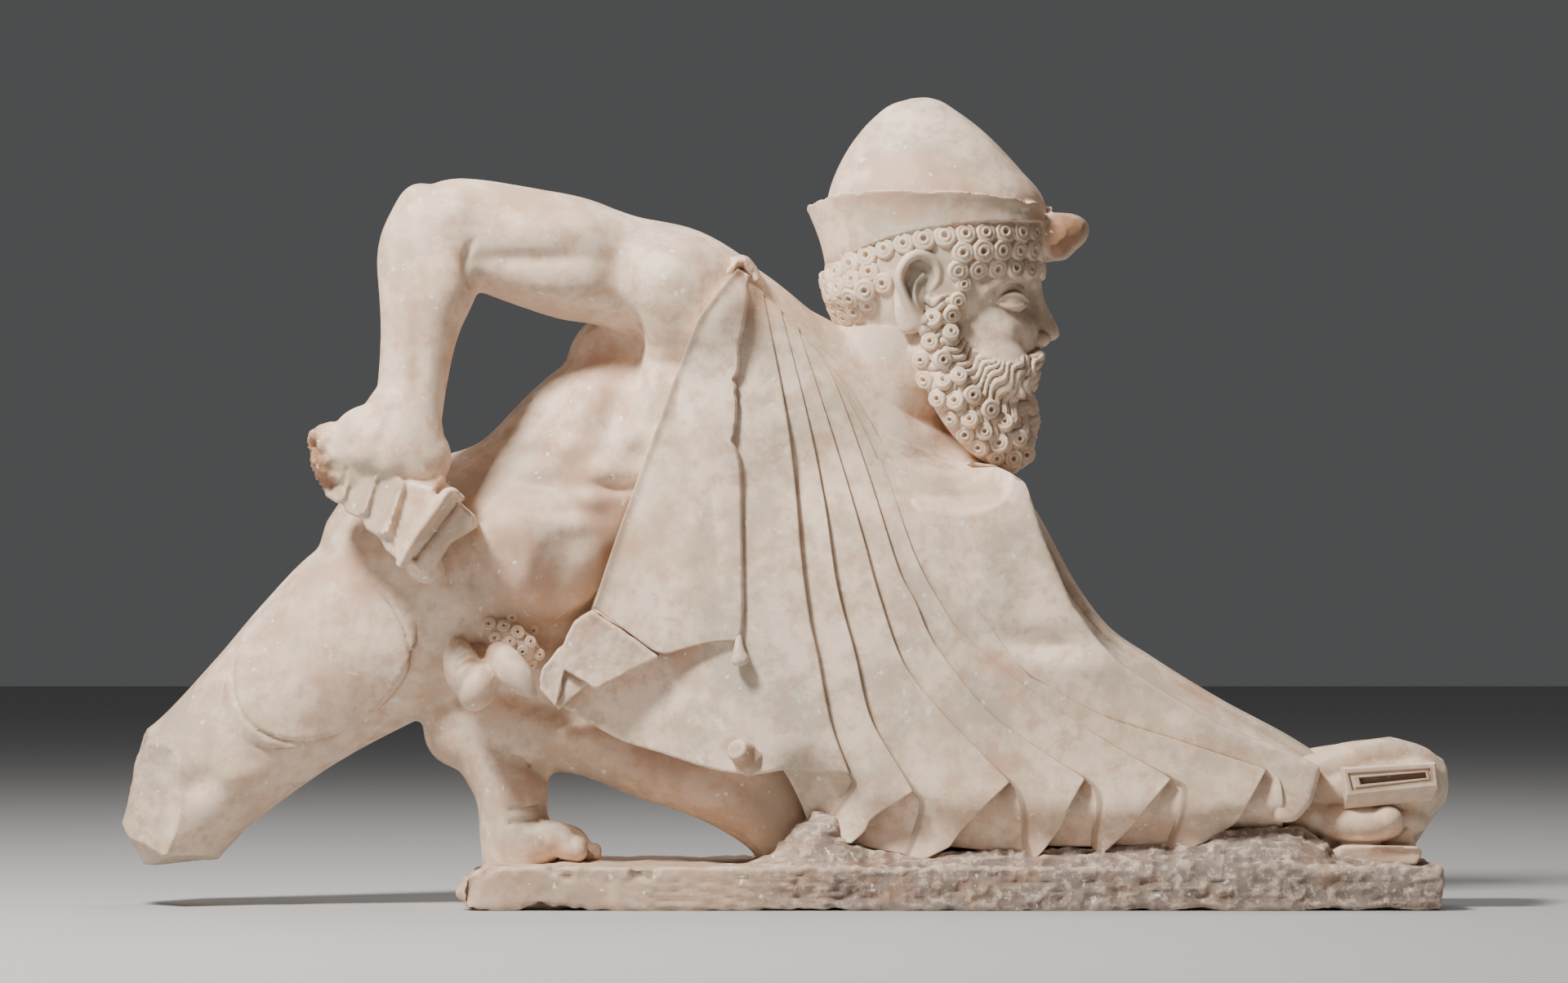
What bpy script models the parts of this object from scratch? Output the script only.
# A marble figure of a bearded man in a pointed cap, carved in one block with its plinth.
# Metres, +Z up, +X the way the figure faces, -Y its front. The underside lies at z = 0.
# The pose is given in units: a unit is a share of the figure's length, 10 mm at its real size.
# x runs along the figure from its middle, y into its depth, z up from the top of the plinth.

import math

import bmesh
import bpy
import numpy as np
from mathutils import Matrix, Vector

FIGURE_LENGTH = 1.300          # from the broken knee to the knuckles of the left hand
PLINTH_THICKNESS = 0.042
PLINTH_LENGTH = 0.949
PLINTH_DEPTH = 0.255
PLINTH_EDGE_WEAR = 0.006       # how far the rim of the plinth wanders in and out

UNITS_LONG = 130.0
UNIT = FIGURE_LENGTH / UNITS_LONG
GRAIN = 0.0052                 # size of the cells that weld the forms into one block
FIGURE_TRIANGLES = 8900
MARBLE = (0.80, 0.72, 0.62, 1.0)

CAP_NARROW = 0.86              # depth of the cap and its brim as a share of their length
BRIM_SIDES = 48
BRIM_THICKNESS = 1.2
CURL = 1.05                    # half the width of a curl of hair, in units
FOLD_HEIGHT = 0.75             # how far a pleat of the cloak stands proud, in units
HEM_RECESS = 0.7               # how deep the cloth lies between two pleats at the hem
MUSCLE = 1.0                   # strength of the swellings under the skin


def spot(x, y, z):
    """A place on the figure, from units to metres."""
    return Vector((x * UNIT, y * UNIT, PLINTH_THICKNESS + z * UNIT))


def clear_scene():
    for item in list(bpy.data.objects):
        bpy.data.objects.remove(item, do_unlink=True)


def through(rows, steps):
    """Rows of numbers joined by a smooth curve, with this many steps from each row to the next."""
    rows = np.array(rows, float)
    padded = np.vstack([2 * rows[0] - rows[1], rows, 2 * rows[-1] - rows[-2]])
    made = []
    for a, b, c, d in zip(padded, padded[1:], padded[2:], padded[3:]):
        for t in np.arange(steps) / steps:
            made.append(
                0.5 * (2 * b + (c - a) * t + (2 * a - 5 * b + 4 * c - d) * t**2
                       + (3 * b - a - 3 * c + d) * t**3)
            )
    made.append(rows[-1])
    return np.array(made)


class Stone:
    """The block being carved: closed forms that overlap, welded together at the end."""

    def __init__(self):
        self.mesh = bmesh.new()

    def limb(self, stations, sides=20, steps=4, ends=0.55):
        """A tube through stations of x, y, z, half width across the length and half depth."""
        rows = through(stations, steps)
        middle, halves = rows[:, :3], rows[:, 3:]
        along = np.gradient(middle, axis=0)
        along /= np.linalg.norm(along, axis=1)[:, None]
        rings = [(middle[i], along[i], halves[i]) for i in range(len(rows))]
        for quarter in (0.5, 0.86):
            side = math.sqrt(1 - quarter**2)
            first, last = rows[0, 3] * ends * quarter, rows[-1, 3] * ends * quarter
            rings.insert(0, (middle[0] - along[0] * first, along[0], halves[0] * side))
            rings.append((middle[-1] + along[-1] * last, along[-1], halves[-1] * side))
        loops = []
        for centre, forward, (half, depth) in rings:
            inward = np.array((0.0, 1.0, 0.0)) - forward * forward[1]
            inward /= np.linalg.norm(inward)
            across = np.cross(forward, inward)
            loop = []
            for k in range(sides):
                turn = 2 * math.pi * k / sides
                place = centre + across * half * math.cos(turn) + inward * depth * math.sin(turn)
                loop.append(self.mesh.verts.new(spot(*place)))
            loops.append(loop)
        self.close(loops)

    def ball(self, centre, radii, tilt=0.0, turn=0.0, sides=20):
        """An egg shape. Its tilt in degrees is in the front view, its turn is seen from above."""
        way = Matrix.Rotation(math.radians(turn), 3, "Z") @ Matrix.Rotation(math.radians(-tilt), 3, "Y")
        rings = sides // 2
        loops = []
        for k in range(rings):
            down = math.pi * (k + 0.5) / rings
            loop = []
            for n in range(sides):
                round_it = 2 * math.pi * n / sides
                reach = math.sin(down)
                point = (reach * math.cos(round_it), reach * math.sin(round_it), math.cos(down))
                point = way @ Vector(a * r for a, r in zip(point, radii))
                loop.append(self.mesh.verts.new(spot(*(point + Vector(centre)))))
            loops.append(loop)
        self.close(loops)

    def close(self, loops):
        """Faces between loops of points, and a flat face at each end."""
        for one, other in zip(loops, loops[1:]):
            for k in range(len(one)):
                after = (k + 1) % len(one)
                self.mesh.faces.new((one[k], one[after], other[after], other[k]))
        self.mesh.faces.new(loops[0])
        self.mesh.faces.new(loops[-1])

    def slab(self, outline, front, back):
        """A sheet of stone with this outline in the front view, between two depths."""
        near = [self.mesh.verts.new(spot(x, front, z)) for x, z in outline]
        face = self.mesh.faces.new(near)
        made = bmesh.ops.extrude_face_region(self.mesh, geom=[face])
        far = [v for v in made["geom"] if isinstance(v, bmesh.types.BMVert)]
        bmesh.ops.translate(self.mesh, verts=far, vec=(0, (back - front) * UNIT, 0))

    def turned(self, foot, lean, profile, narrow, sides=28):
        """A round form: its profile lists height and radius, its depth is narrower, and it leans."""
        way = Matrix.Translation(spot(*foot)) @ Matrix.Rotation(math.radians(lean), 4, "Y")
        loops = []
        for height, radius in profile:
            loop = []
            for k in range(sides):
                turn = 2 * math.pi * k / sides
                flat = Vector((radius * math.cos(turn), radius * narrow * math.sin(turn), height))
                loop.append(self.mesh.verts.new(way @ (flat * UNIT)))
            loops.append(loop)
        self.close(loops)

    def band(self, low, high, x, thick, narrow):
        """A thin wall round an upright axis at x. Each edge lists turn, radius and height."""
        loops = []
        for edge, inset in ((low, 0.0), (high, 0.0), (high, thick), (low, thick)):
            loop = []
            for turn, radius, height in edge:
                reach = radius - inset
                place = (x + reach * math.cos(turn), reach * narrow * math.sin(turn), height)
                loop.append(self.mesh.verts.new(spot(*place)))
            loops.append(loop)
        for one, other in zip(loops, loops[1:] + loops[:1]):
            for k in range(len(one)):
                after = (k + 1) % len(one)
                self.mesh.faces.new((one[k], one[after], other[after], other[k]))

    def welded(self, name):
        """The forms as one object with an even skin."""
        bmesh.ops.recalc_face_normals(self.mesh, faces=self.mesh.faces)
        data = bpy.data.meshes.new(name)
        self.mesh.to_mesh(data)
        self.mesh.free()
        made = bpy.data.objects.new(name, data)
        bpy.context.scene.collection.objects.link(made)
        skin = made.modifiers.new("skin", "REMESH")
        skin.mode = "VOXEL"
        skin.voxel_size = GRAIN
        soften = made.modifiers.new("soften", "SMOOTH")
        soften.factor = 0.5
        soften.iterations = 3
        fix(made)
        return made


def fix(item):
    """Replaces an object's mesh by what its modifiers make of it."""
    bpy.context.view_layer.update()
    graph = bpy.context.evaluated_depsgraph_get()
    data = bpy.data.meshes.new_from_object(item.evaluated_get(graph))
    item.modifiers.clear()
    item.data = data


def torso(stone):
    stone.limb([
        (-38.0, 1.5, 25.5, 11.5, 9.0), (-32.5, 1.0, 28.0, 12.2, 9.8), (-24.5, 0.5, 32.3, 10.3, 9.0),
        (-15.5, 0.0, 38.0, 12.4, 9.8), (-5.0, 0.0, 41.6, 14.2, 10.2), (4.0, 0.5, 42.4, 11.6, 9.2),
        (8.5, 1.0, 43.0, 8.6, 7.6),
    ], sides=28)
    # The shoulders, from the raised right one down to the left one.
    stone.limb([
        (-10.5, -3.5, 54.2, 7.2, 7.4), (-5.0, -2.0, 51.0, 7.2, 8.0), (3.5, 0.5, 44.6, 6.6, 8.6),
        (12.0, 1.5, 37.6, 6.8, 8.4), (17.0, 1.5, 32.6, 7.4, 8.4),
    ])
    stone.ball((-35.0, 2.5, 29.8), (11.0, 10.2, 10.0), tilt=25)
    stone.ball((-36.5, 6.0, 26.5), (8.5, 7.0, 8.5))
    stone.ball((-27.0, 6.5, 23.5), (8.0, 6.5, 8.0))
    stone.ball((-24.0, -2.5, 31.0), (10.0, 8.0, 8.0), tilt=25)


def right_arm(stone):
    stone.limb([
        (-6.5, -4.0, 53.0, 6.6, 7.4), (-11.0, -5.0, 55.7, 6.5, 7.2), (-16.0, -5.8, 57.6, 5.6, 6.0),
        (-20.5, -6.6, 58.8, 6.0, 6.0), (-25.2, -7.4, 60.0, 5.7, 5.6), (-29.8, -8.4, 61.2, 5.2, 5.0),
        (-32.6, -9.2, 61.7, 4.8, 4.6),
    ])
    stone.limb([
        (-32.9, -9.2, 62.6, 4.2, 4.2), (-33.9, -9.7, 60.0, 4.8, 4.6), (-34.0, -10.2, 56.6, 4.7, 4.5),
        (-34.9, -10.9, 52.2, 3.8, 3.9), (-35.5, -11.6, 47.6, 3.4, 3.3), (-36.0, -12.2, 43.3, 3.3, 3.0),
        (-36.4, -12.4, 40.5, 3.7, 3.0),
    ])


def right_fist(stone):
    """The fist with the grip in it, seen on the back of the hand, its knuckles to the lower left."""
    stone.limb([
        (-36.4, -12.6, 42.0, 3.8, 2.9), (-36.4, -13.0, 39.2, 4.8, 3.4), (-36.9, -13.2, 36.6, 5.2, 3.6),
        (-37.2, -12.8, 35.2, 4.4, 3.4),
    ])
    across, down = Vector((0.79, 0.0, -0.61)), Vector((-0.50, 0.0, -0.86))
    first = Vector((-40.6, -14.2, 37.4))
    for number in range(4):
        knuckle = first + across * (2.55 * number)
        tip = knuckle + down * (4.1 - 0.2 * abs(number - 1.5))
        stone.limb([
            (*knuckle, 1.35, 2.2), (*(knuckle * 0.5 + tip * 0.5 + Vector((0, 0.2, 0))), 1.35, 2.3),
            (*(tip + Vector((0, 0.6, 0))), 1.25, 1.9),
        ], sides=12)
    # The broken pommel end, the guard and the stub of the blade.
    stone.limb([
        (-45.0, -11.6, 41.0, 1.9, 2.4), (-43.5, -11.8, 39.6, 3.1, 2.8), (-40.5, -12.0, 37.4, 2.6, 2.6),
        (-36.0, -12.0, 33.8, 2.3, 2.4),
    ], sides=14)
    stone.limb([
        (-35.0, -12.4, 28.6, 0.8, 3.1), (-34.2, -12.6, 29.8, 1.0, 3.4), (-32.2, -12.8, 32.8, 1.0, 3.5),
        (-30.9, -12.9, 34.9, 0.8, 3.2),
    ], sides=14)
    stone.slab([(-34.8, 28.8), (-33.7, 28.4), (-29.8, 32.6), (-29.6, 33.9), (-31.0, 34.4)], -13.6, -9.0)
    # Stone left between the fist and the hip holds the arm.
    stone.ball((-36.0, -9.5, 32.5), (5.0, 4.0, 5.0))


def right_thigh(stone):
    """The right leg, thrust back and broken off at the knee."""
    stone.limb([
        (-36.0, 1.0, 25.5, 9.6, 9.4), (-40.8, 1.0, 22.2, 9.7, 9.2), (-45.6, 0.8, 18.5, 8.7, 8.4),
        (-50.6, 0.6, 14.2, 7.6, 7.4), (-56.6, 0.4, 8.8, 6.7, 6.6), (-59.6, 0.2, 6.5, 7.0, 6.6),
        (-61.4, 0.0, 5.4, 6.0, 5.4),
    ], ends=0.3)
    stone.ball((-58.6, 0.5, 3.2), (4.4, 5.0, 3.6), tilt=-20)


def left_leg(stone):
    """The folded left leg: thigh behind the cloak, knee down, shin back up to the ankle, toes down."""
    stone.limb([
        (-27.0, 3.0, 24.0, 8.5, 7.5), (-18.0, 2.8, 18.5, 6.6, 7.0), (-9.0, 2.0, 13.6, 5.8, 6.2),
        (-1.5, 1.0, 8.0, 5.2, 5.4), (0.0, 0.5, 3.5, 4.0, 5.0),
    ])
    stone.limb([
        (-30.5, 0.0, 12.8, 3.9, 3.6), (-26.0, 0.0, 12.6, 3.9, 3.5), (-20.0, 0.0, 11.8, 3.2, 3.4),
        (-13.0, 0.0, 9.6, 3.5, 3.9), (-7.0, 0.0, 7.6, 3.6, 4.3), (-1.6, 0.2, 4.6, 3.7, 4.6),
        (0.2, 0.4, 1.6, 3.0, 4.4),
    ], sides=18)
    stone.ball((-31.4, 0.0, 13.0), (3.9, 3.4, 3.9))
    stone.limb([
        (-29.4, 0.0, 12.2, 3.6, 3.4), (-27.0, -0.1, 8.6, 3.9, 3.8), (-26.5, -0.2, 5.6, 3.4, 4.2),
        (-26.3, -0.2, 2.6, 3.4, 4.4), (-26.0, -0.2, -1.0, 3.3, 4.2),
    ], sides=18)
    stone.limb([
        (-27.5, -0.2, 2.0, 2.6, 4.3), (-24.2, -0.2, 1.7, 2.1, 4.4), (-21.8, -0.2, 1.2, 1.6, 4.2),
    ], sides=18)
    toes = [(-2.9, 5.0, 1.45), (-0.9, 5.8, 1.05), (0.9, 5.3, 1.0), (2.5, 4.5, 0.95), (3.9, 3.6, 0.9)]
    for depth, reach, thick in toes:
        stone.limb([
            (-23.5, depth, 1.7, thick, thick), (-23.5 + reach * 0.55, depth, 1.5, thick, thick),
            (-23.5 + reach, depth, thick - 0.5, thick, thick),
        ], sides=10)


def privates(stone):
    stone.ball((-29.9, -9.2, 18.6), (2.7, 3.2, 3.4))
    stone.ball((-27.6, -9.2, 17.0), (2.3, 3.0, 2.6), tilt=-30)
    stone.limb([
        (-27.4, -9.6, 20.6, 1.5, 1.8), (-26.3, -11.4, 19.4, 1.6, 1.7), (-25.0, -12.0, 18.0, 1.5, 1.6),
        (-23.9, -12.0, 16.9, 0.8, 0.9),
    ], sides=12)
    stone.ball((-28.0, -6.0, 21.5), (4.6, 4.4, 3.2), tilt=-20)


def head(stone):
    stone.limb([
        (6.0, 1.0, 41.0, 7.4, 7.4), (9.3, 0.6, 46.0, 6.5, 6.4), (12.2, 0.2, 51.5, 6.3, 6.1),
        (13.6, 0.0, 56.0, 6.2, 6.0),
    ])
    stone.ball((14.4, 0.0, 57.6), (10.6, 7.9, 8.6), tilt=-8)
    stone.ball((11.0, 0.0, 56.5), (7.0, 7.4, 5.2))
    stone.ball((19.0, 0.0, 52.4), (6.6, 6.3, 8.6))
    # Nose, brow and the bearded jaw, of plain even proportions.
    stone.limb([
        (24.3, 0.0, 55.8, 0.7, 0.9), (25.6, 0.0, 53.3, 0.8, 1.1), (26.6, 0.0, 51.0, 1.1, 1.5),
        (25.2, 0.0, 50.1, 1.0, 1.6),
    ], sides=12)
    stone.ball((23.4, 0.0, 56.0), (1.8, 5.0, 1.3))
    stone.limb([
        (15.6, 0.0, 51.8, 4.0, 6.6), (18.6, 0.0, 47.4, 4.6, 6.2), (21.0, 0.0, 43.4, 3.9, 4.9),
        (22.6, 0.0, 40.2, 2.4, 3.2),
    ])
    stone.ball((23.2, 0.0, 47.4), (2.3, 3.4, 2.6))
    for side in (-1, 1):
        stone.limb([
            (13.4, side * 7.6, 57.6, 1.4, 0.9), (12.2, side * 8.1, 59.6, 1.5, 0.7),
            (11.0, side * 8.3, 58.2, 1.4, 0.8), (11.6, side * 7.9, 55.0, 1.3, 0.8),
            (13.0, side * 7.5, 52.9, 1.1, 0.9),
        ], sides=10)


def cap(stone):
    """A pointed felt cap with a thin turned-up brim, broken near the front."""
    crown = [(-3.0, 10.4)]
    for k in range(11):
        share = k / 11
        crown.append((10.8 * share, 10.6 * (1 - share**1.5) ** 0.75))
    crown.append((10.8, 0.4))
    stone.turned((14.9, 0.0, 64.4), -8.0, crown, CAP_NARROW)
    low, high = [], []
    for k in range(BRIM_SIDES):
        turn = 2 * math.pi * k / BRIM_SIDES
        front = max(0.0, math.cos(turn)) ** 8
        wave = 0.18 * math.sin(5 * turn) + 0.12 * math.sin(11 * turn + 1)
        low.append((turn, 10.9, brim_edge(14.9 + 10.9 * math.cos(turn))))
        high.append((turn, 11.7 + 3.8 * front, 64.3 + wave - 0.9 * front))
    stone.band(low, high, 14.6, BRIM_THICKNESS, CAP_NARROW)
    stone.limb([(25.2, 0.0, 62.0, 1.9, 5.0), (27.0, 0.0, 61.9, 1.7, 4.4), (28.9, 0.0, 62.2, 1.1, 3.4)], sides=14)


def brim_edge(x):
    """Height of the lower edge of the brim, which climbs towards the forehead."""
    return 60.0 + 0.22 * (x - 14.9)


def curls(stone):
    """Snail-shell curls in rows under the brim and down the nape."""
    for row in range(4):
        for k in range(28):
            around = math.radians(13.0 * (k + 0.5 * (row % 2)))
            x = 14.4 + 10.6 * math.cos(around)
            rows = 2 if x > 16.5 else 3 if x > 10.5 else 4
            z = brim_edge(x) - 0.9 - 2.1 * row
            if row >= rows:
                continue
            level = math.sqrt(1 - ((z - 57.6) / 10.5) ** 2)
            place = (14.4 + 10.5 * level * math.cos(around), 7.9 * level * math.sin(around), z)
            stone.ball(place, (CURL, CURL, CURL), sides=10)


def beard_curls(stone):
    """Curls along the back and lower edge of the beard, in two rows on each side."""
    for side in (-1, 1):
        for row in range(2):
            for k in range(7 - row):
                down = (k + 0.5 * row) / 6
                x = 13.6 + 7.4 * down**1.2 + 1.5 * row
                z = 51.4 - 12.0 * down + 1.4 * row
                stone.ball((x, side * (6.3 - 3.0 * down**2), z), (CURL, CURL, CURL), sides=10)


def left_arm(stone):
    """The left arm under the cloak, reaching down and forward to the plinth."""
    stone.limb([
        (15.6, 1.0, 33.6, 8.2, 8.6), (18.4, 0.5, 29.6, 8.0, 8.6), (22.6, 0.0, 23.2, 7.4, 8.4),
        (27.4, -0.4, 18.0, 6.8, 8.0), (33.0, -0.6, 14.3, 6.6, 7.6), (40.0, -0.8, 10.6, 6.1, 7.4),
        (46.5, -0.8, 7.6, 5.7, 6.8), (51.0, -0.8, 5.8, 5.0, 6.2),
    ], sides=24)


def left_hand(stone):
    """The hand closed round the mouth of the scabbard."""
    stone.limb([
        (50.0, -0.8, 6.4, 4.4, 5.0), (54.5, -0.8, 7.4, 4.5, 5.2), (59.6, -0.8, 7.6, 4.6, 5.4),
        (62.3, -0.8, 7.0, 3.3, 4.8),
    ], sides=16)
    stone.slab([(55.6, 5.6), (64.0, 6.9), (64.3, 9.9), (56.0, 9.2)], -8.6, -1.0)
    fingers = [(-4.6, 3.6, 61.0, 1.7), (-1.8, 3.4, 62.3, 1.6), (1.0, 3.4, 62.2, 1.5), (3.6, 3.6, 61.4, 1.4)]
    for depth, height, reach, thick in fingers:
        stone.limb([
            (53.6, depth, height - 0.4, thick, thick), (57.5, depth, height, thick, thick),
            (reach - thick * 0.5, depth, height, thick, thick),
        ], sides=12)
    stone.limb([(52.4, -3.0, 0.4, 1.0, 2.4), (57.0, -3.2, 0.7, 1.1, 2.6), (61.6, -3.0, 0.4, 0.9, 2.2)], sides=12)
    stone.ball((57.5, -0.5, 1.0), (5.0, 5.0, 3.0))


# The cloak is drawn in the front view, as x and z.
CLOAK_LEFT = [(-4.3, 57.8), (-8.6, 51.5), (-12.3, 42.0), (-15.7, 32.7), (-18.2, 26.2)]
CLOAK_HEM = [(-21.4, 15.6), (-17.5, 13.3), (-12.6, 11.3), (-5.4, 9.2), (3.1, 9.2), (4.5, 5.2), (8.1, 3.0)]
CLOAK_FOOT = [(11.4, 0.8), (19.3, 1.2), (30.5, 0.9), (41.7, 2.1), (49.0, 3.8)]
CLOAK_RIGHT = [(51.0, 9.0), (42.0, 12.6), (33.0, 17.4), (28.0, 23.0), (23.6, 32.0), (17.0, 37.6)]
CLOAK_NECK = [(9.4, 41.6), (7.0, 45.6), (3.7, 49.6), (-2.6, 56.8)]


def cloak(stone):
    """The cloak pinned on the right shoulder: a curtain in front, a mass of stone round the arm."""
    curtain = CLOAK_LEFT + [(-20.6, 20.0)] + CLOAK_HEM + CLOAK_FOOT + CLOAK_RIGHT + CLOAK_NECK
    stone.slab(curtain, -10.6, -5.0)
    panel = CLOAK_LEFT + [(-20.6, 22.4), (-17.4, 17.6), (-12.2, 20.2), (-4.2, 22.2), (-3.9, 57.0)]
    stone.slab(panel, -12.0, -8.0)
    mass = [(4.6, 5.2)] + CLOAK_FOOT + CLOAK_RIGHT + [(9.4, 41.6), (2.0, 38.0), (1.0, 12.0)]
    stone.slab(mass, -8.0, 7.6)
    stone.ball((-3.6, -9.4, 58.2), (1.3, 1.5, 1.2))
    stone.ball((-4.2, -11.4, 20.9), (0.9, 1.0, 1.5))
    stone.ball((-4.6, -11.0, 10.4), (1.6, 1.2, 1.8))


def rock(stone):
    """Rough stone left under the cloak and the hand."""
    stone.limb([
        (5.0, -0.6, -0.6, 2.4, 9.0), (12.0, -0.4, -0.6, 2.2, 10.6), (30.0, -0.4, -0.5, 2.4, 11.0),
        (44.0, -0.4, 0.2, 3.0, 10.6), (54.0, -0.4, 0.2, 3.0, 9.6), (60.5, -0.4, -0.6, 2.0, 8.0),
    ], ends=0.3)
    stone.ball((2.4, -0.5, 1.0), (5.0, 7.4, 3.0))


def curve(start, middle, end):
    """Points along the arc of a parabola through three points of the front view."""
    start, middle, end = (np.array(point, float) for point in (start, middle, end))
    bend = 2 * middle - (start + end) / 2
    t = np.linspace(0, 1, 25)[:, None]
    return (1 - t) ** 2 * start + 2 * t * (1 - t) * bend + t**2 * end


# Fold lines of the cloak's front, each from the neck through a middle to its end at the hem.
FRONT_FOLDS = [
    ((-5.4, 57.0), (-9.6, 38.0), (-13.4, 20.0)),
    ((-4.0, 57.5), (-3.9, 38.0), (-3.6, 9.0)),
    ((-1.7, 54.0), (1.8, 29.6), (6.5, 8.6)),
    ((0.3, 52.4), (5.2, 27.1), (12.7, 7.3)),
    ((3.1, 48.6), (9.1, 26.6), (21.8, 8.2)),
    ((5.1, 47.0), (14.6, 21.6), (29.0, 8.6)),
    ((6.4, 45.4), (18.0, 22.1), (37.2, 8.8)),
    ((11.0, 38.4), (25.2, 19.6), (46.5, 9.4)),
]
# Where a pleat ends at the hem: the left and right feet of the gap beside it.
HEM_GAPS = {3: ((8.1, 3.2), (11.6, 0.8)), 4: ((16.0, 1.6), (23.0, 1.4)), 5: ((25.4, 1.7), (29.8, 1.3)),
            6: ((31.6, 1.3), (37.0, 1.7)), 7: ((43.2, 3.7), (48.0, 3.4))}
BACK_FOLDS = [
    ((6.0, 38.0), (5.0, 20.0), (5.6, 2.0)), ((9.0, 39.0), (10.4, 20.0), (13.0, 2.0)),
    ((12.0, 38.0), (16.0, 18.0), (21.0, 2.0)), ((15.0, 36.0), (21.0, 16.0), (29.0, 2.0)),
    ((18.0, 33.0), (26.0, 14.6), (37.0, 2.4)), ((21.0, 29.0), (31.0, 13.4), (45.0, 3.4)),
]


def pleats(x, z, folds):
    """How far the cloth stands out at each place: it rises across a pleat and drops at the next line."""
    lines = []
    for fold in folds:
        points = curve(*fold)[::-1]
        lines.append(np.interp(z, points[:, 1], points[:, 0]))
    out = np.zeros(len(x))
    for one, other in zip(lines, lines[1:]):
        wide = np.maximum(other - one, 0.05)
        share = (x - one) / wide
        inside = (share >= 0) & (share < 1)
        high = FOLD_HEIGHT * np.clip(wide / 5.0, 0, 1)
        drop = np.clip((1 - share) / 0.16, 0, 1)
        out += np.where(inside, high * share * drop, 0)
    return out


def hem_gaps(x, z):
    """1 inside the three-cornered gaps between pleats at the hem, 0 elsewhere."""
    inside = np.zeros(len(x), bool)
    for number, (left, right) in HEM_GAPS.items():
        top = FRONT_FOLDS[number][2]
        down = np.clip((top[1] - z) / (top[1] - left[1]), 0, 1.2)
        from_left = top[0] + (left[0] - top[0]) * down**0.8
        to_right = top[0] + (right[0] - top[0]) * down**0.6
        inside |= (z < top[1]) & (x > from_left) & (x < to_right)
    return inside.astype(float)


def step(low, high, value):
    """0 below low, 1 above high, smooth between."""
    share = np.clip((value - low) / (high - low), 0, 1)
    return share * share * (3 - 2 * share)


def cloak_shape(x, y, z):
    """How far the front of the cloak moves towards the front, as x, z over it."""
    neck = 41.6 + (9.4 - x) * 1.17
    covered = step(-0.6, 0.6, x - np.interp(z, [15.0, 26.2, 42.0, 57.8], [-21.5, -18.3, -12.4, -4.4]))
    covered *= step(-0.4, 0.8, neck - z) * step(-9.0, -10.2, y)
    out = pleats(x, z, FRONT_FOLDS) - HEM_RECESS * hem_gaps(x, z)
    out += 1.1 * step(12.0, 2.0, z) * step(2.0, 8.0, x)
    out -= 1.6 * step(34.0, 54.0, z) * step(-3.0, 2.0, x)
    out += 1.2 * np.exp(-(((x - 2.0) / 11.0) ** 2 + ((z - 40.0) / 9.0) ** 2))
    return out * covered


def swelling(points, centre, radii, height):
    """A soft rise in the skin round one place."""
    away = ((points - np.array(centre)) / np.array(radii)) ** 2
    return height * MUSCLE * np.exp(-away.sum(axis=1) * 1.5)


# Muscles and bones under the skin of the front: place, reach and height, in units.
MUSCLES = [
    ((-17.5, -9.0, 44.0), (4.0, 5.0, 3.2), 0.7), ((-19.5, -9.0, 38.5), (3.2, 5.0, 3.0), -0.5),
    ((-14.5, -9.5, 36.0), (3.6, 5.0, 4.2), 0.5), ((-22.0, -9.0, 34.5), (5.0, 5.0, 2.6), 0.7),
    ((-26.5, -9.0, 29.0), (3.6, 5.0, 3.4), -0.5), ((-20.0, -10.0, 27.5), (3.4, 5.0, 3.6), 0.6),
    ((-33.0, -8.0, 27.0), (4.4, 5.0, 3.6), 0.6), ((-12.0, -9.0, 55.0), (3.4, 5.0, 3.2), 0.5),
    ((-33.0, -13.0, 56.5), (2.2, 4.0, 4.0), 0.5), ((-25.0, -12.0, 61.5), (4.5, 4.0, 2.2), 0.5),
]


def thigh_oval(x, z):
    """The raised oval on the front of the right thigh, 1 inside its edge."""
    along = (x + 44.6) * 0.767 + (z - 20.5) * 0.642
    across = -(x + 44.6) * 0.642 + (z - 20.5) * 0.767
    return step(1.08, 0.98, np.sqrt((along / 8.6) ** 2 + (across / 8.4) ** 2))


def carve_surface(item):
    """Cuts folds and swells muscles by moving the points of the welded skin."""
    count = len(item.data.vertices)
    flat = np.empty(count * 3, np.float32)
    item.data.vertices.foreach_get("co", flat)
    points = flat.reshape(-1, 3).astype(float)
    item.data.vertices.foreach_get("normal", flat)
    normals = flat.reshape(-1, 3).astype(float)
    units = (points - np.array((0, 0, PLINTH_THICKNESS))) / UNIT
    x, y, z = units.T
    front = step(0.25, 0.75, -normals[:, 1])
    back = step(0.25, 0.75, normals[:, 1])
    units[:, 1] -= cloak_shape(x, y, z) * front
    hanging = step(4.0, 6.0, x) * step(60.0, 50.0, x) * step(6.0, 7.0, y) * step(42.0, 38.0, z) * step(1.0, 3.0, z)
    units[:, 1] += pleats(x, z, BACK_FOLDS) * back * hanging
    for centre, radii, height in MUSCLES:
        bare = step(-0.4, -1.4, x - np.interp(z, [15.0, 26.2, 42.0, 57.8], [-21.5, -18.3, -12.4, -4.4]))
        units += normals * (swelling(units, centre, radii, height) * bare)[:, None]
    units[:, 1] -= 0.35 * thigh_oval(x, z) * front * step(-2.0, -5.0, y)
    points = units * UNIT + np.array((0, 0, PLINTH_THICKNESS))
    item.data.vertices.foreach_set("co", points.astype(np.float32).ravel())
    item.data.update()


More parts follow.
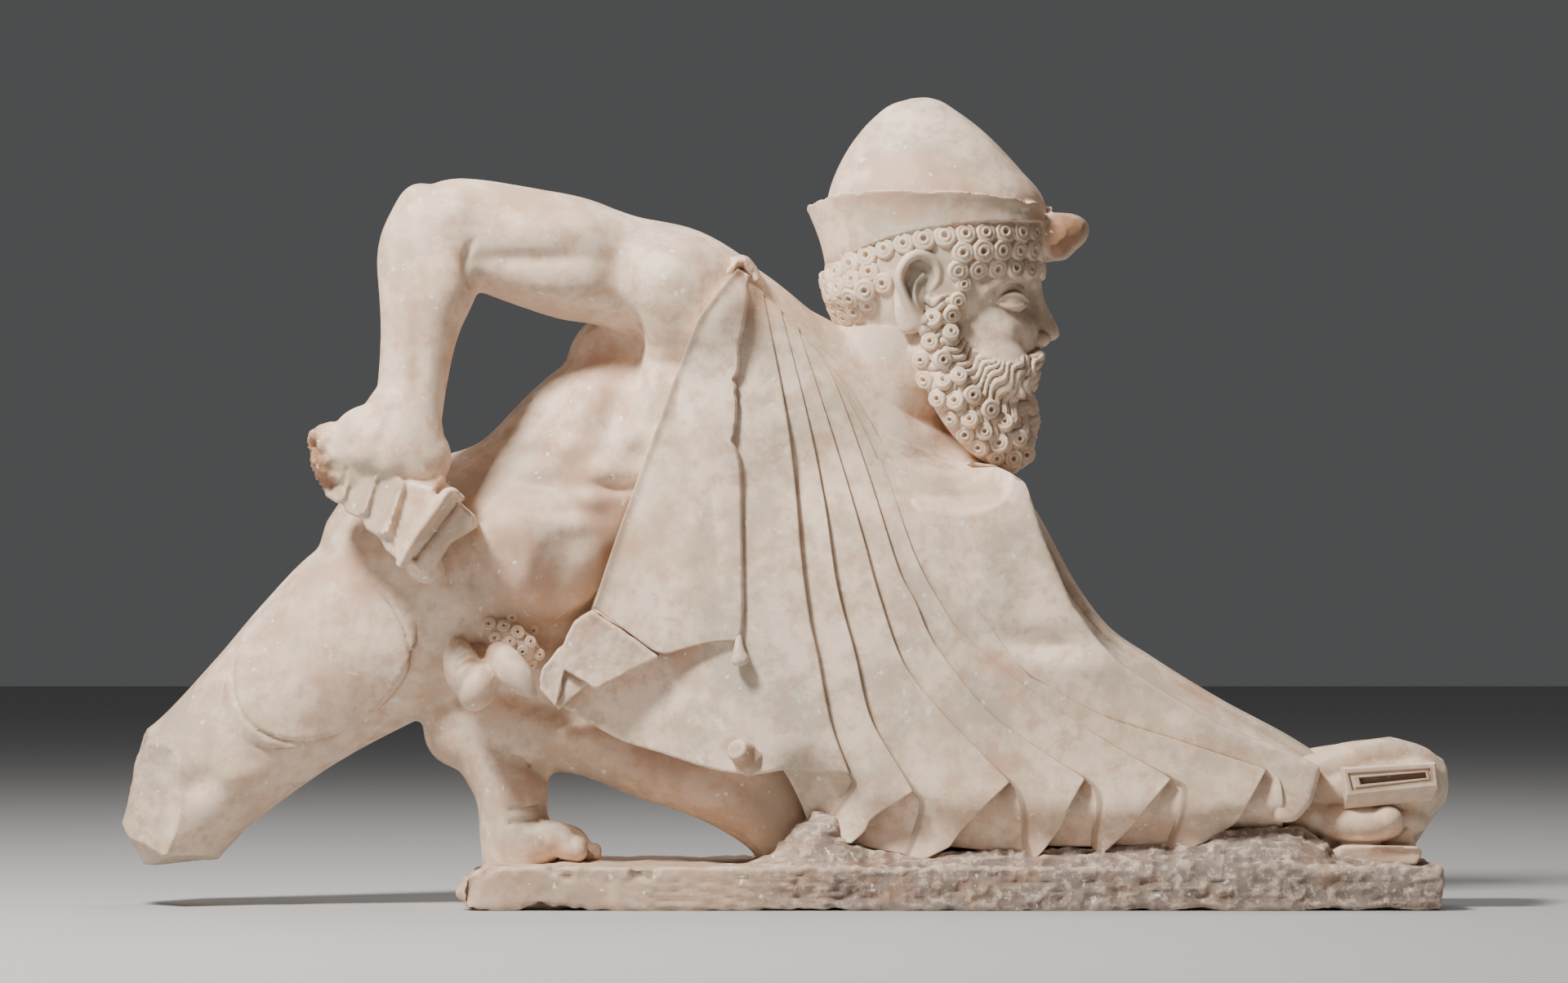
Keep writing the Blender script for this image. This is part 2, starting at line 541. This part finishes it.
def plinth():
    """The slab that the figure kneels on, with a worn rim, square and flat below."""
    mesh = bmesh.new()
    corner = 0.35 * PLINTH_DEPTH
    start = spot(-31.5, 0, 0).x
    half = PLINTH_DEPTH / 2
    around = []
    steps = 12
    for cx, cy, first in (
        (start + PLINTH_LENGTH - corner * 0.4, half - corner * 0.4, 0), (start + corner, half - corner, 90),
        (start + corner, corner - half, 180), (start + PLINTH_LENGTH - corner * 0.4, corner * 0.4 - half, 270),
    ):
        radius = half - abs(cy)
        for k in range(steps):
            turn = math.radians(first + 90 * k / (steps - 1))
            around.append((cx + radius * math.cos(turn), cy + radius * math.sin(turn)))
    long = []
    for (ax, ay), (bx, by) in zip(around, around[1:] + around[:1]):
        pieces = max(1, round(math.hypot(bx - ax, by - ay) / (0.16 * PLINTH_DEPTH)))
        for k in range(pieces):
            long.append((ax + (bx - ax) * k / pieces, ay + (by - ay) * k / pieces))
    loops = []
    for height, grow in ((0.0, -0.3), (0.35, 0.2), (0.8, 0.0), (1.0, -0.9)):
        loop = []
        for k, (x, y) in enumerate(long):
            wander = math.sin(1.7 * k + 4 * height) + 0.6 * math.sin(3.1 * k + 1.0)
            out = PLINTH_EDGE_WEAR * (grow - 0.5 + 0.5 * wander)
            size = math.hypot(x - start - PLINTH_LENGTH / 2, y)
            away = ((x - start - PLINTH_LENGTH / 2) / size, y / size)
            loop.append(mesh.verts.new((x + away[0] * out, y + away[1] * out, height * PLINTH_THICKNESS)))
        loops.append(loop)
    for one, other in zip(loops, loops[1:]):
        for k in range(len(one)):
            after = (k + 1) % len(one)
            mesh.faces.new((one[k], one[after], other[after], other[k]))
    mesh.faces.new(loops[0])
    mesh.faces.new(loops[-1])
    bmesh.ops.recalc_face_normals(mesh, faces=mesh.faces)
    data = bpy.data.meshes.new("plinth")
    mesh.to_mesh(data)
    mesh.free()
    made = bpy.data.objects.new("plinth", data)
    bpy.context.scene.collection.objects.link(made)
    return made


def settle(item):
    """Moves the figure so that the middle of its underside box is the origin."""
    corners = np.array([tuple(v.co) for v in item.data.vertices])
    low, high = corners.min(axis=0), corners.max(axis=0)
    middle = (low + high) / 2
    item.data.transform(Matrix.Translation((-middle[0], -middle[1], -low[2])))


def marble():
    made = bpy.data.materials.new("marble")
    made.use_nodes = True
    shader = made.node_tree.nodes["Principled BSDF"]
    shader.inputs["Base Color"].default_value = MARBLE
    shader.inputs["Roughness"].default_value = 0.55
    shader.inputs["Metallic"].default_value = 0.0
    return made


def largest_only(item):
    """Keeps the one shell that holds most of the points."""
    mesh = bmesh.new()
    mesh.from_mesh(item.data)
    left = set(mesh.verts)
    shells = []
    while left:
        seed = left.pop()
        shell, edge = {seed}, [seed]
        while edge:
            for link in edge.pop().link_edges:
                for point in link.verts:
                    if point in left:
                        left.remove(point)
                        shell.add(point)
                        edge.append(point)
        shells.append(shell)
    best = max(shells, key=len)
    bmesh.ops.delete(mesh, geom=[v for v in mesh.verts if v not in best], context="VERTS")
    mesh.to_mesh(item.data)
    mesh.free()


def main():
    clear_scene()
    stone = Stone()
    for carve in (
        torso, right_arm, right_fist, right_thigh, left_leg, privates, head, cap, curls, beard_curls,
        left_arm, left_hand, cloak, rock,
    ):
        carve(stone)
    statue = stone.welded("statue")
    largest_only(statue)
    carve_surface(statue)
    print(len(statue.data.polygons), "faces before thinning")
    thin = statue.modifiers.new("thin", "DECIMATE")
    thin.ratio = FIGURE_TRIANGLES / (2 * len(statue.data.polygons))
    thin.use_collapse_triangulate = True
    fix(statue)
    base = plinth()
    union = statue.modifiers.new("plinth", "BOOLEAN")
    union.operation = "UNION"
    union.object = base
    fix(statue)
    bpy.data.objects.remove(base, do_unlink=True)
    settle(statue)
    statue.data.materials.clear()
    statue.data.materials.append(marble())
    statue.data.shade_smooth()
    statue.data.set_sharp_from_angle(angle=math.radians(40))


main()
